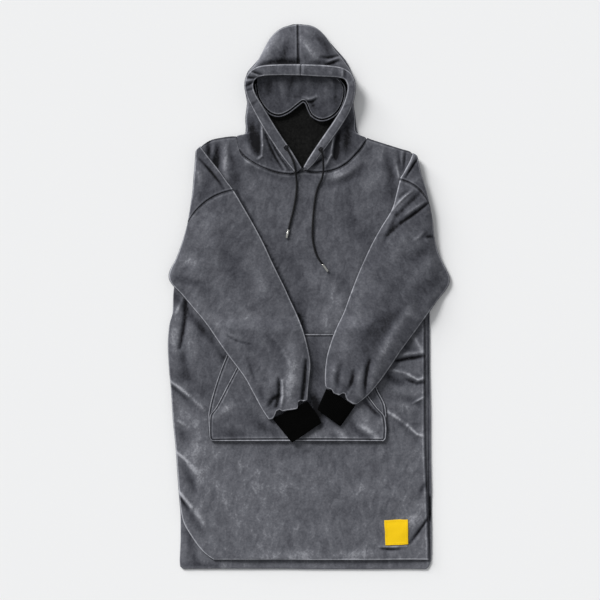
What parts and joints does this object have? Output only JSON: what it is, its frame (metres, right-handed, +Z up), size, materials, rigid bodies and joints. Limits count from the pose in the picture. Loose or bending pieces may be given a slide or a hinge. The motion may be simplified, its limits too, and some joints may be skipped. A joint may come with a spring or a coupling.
{
  "type": "hoodie",
  "caption": "Long plush pullover hoodie laid flat on its back, sleeves folded across the kangaroo pocket, with ribbed cuffs, a drawstring and an eye mask sewn into the hood.",
  "frame": {"origin": "on the floor, under the middle of the laid garment's outline", "axes": "+Z up from the surface it lies on, +Y from the hem towards the hood, +X to the viewer's right when seen from above"},
  "size_m": [0.6193, 1.2, 0.0358],
  "materials": {
    "plush": "charcoal grey short-pile plush with a soft sheen, backed with fleece",
    "lining": "black brushed fleece",
    "rib": "black rib knit",
    "cord": "black round braid",
    "label": "yellow woven satin label, bare",
    "eyelet": "dark satin metal",
    "aglet": "bright plated metal sleeve"
  },
  "bodies": {
    "root": {"back_panel": "plush", "front_panel": "plush", "pocket_backing": "plush", "pocket_patch": "plush", "shoulder_left": "plush", "shoulder_right": "plush", "sleeve_left": "plush", "sleeve_right": "plush", "cuff_left": "rib", "cuff_right": "rib", "hood_back": "plush", "hood_lining": "lining", "hood_left": "plush", "hood_right": "plush", "hood_band_left": "plush", "hood_band_right": "plush", "eye_mask": "plush", "mask_binding": "plush", "eyelet_left": "eyelet", "eyelet_right": "eyelet", "cord_left": "cord", "cord_right": "cord", "aglet_left": "aglet", "aglet_right": "aglet", "label": "label"}
  },
  "joints": []
}
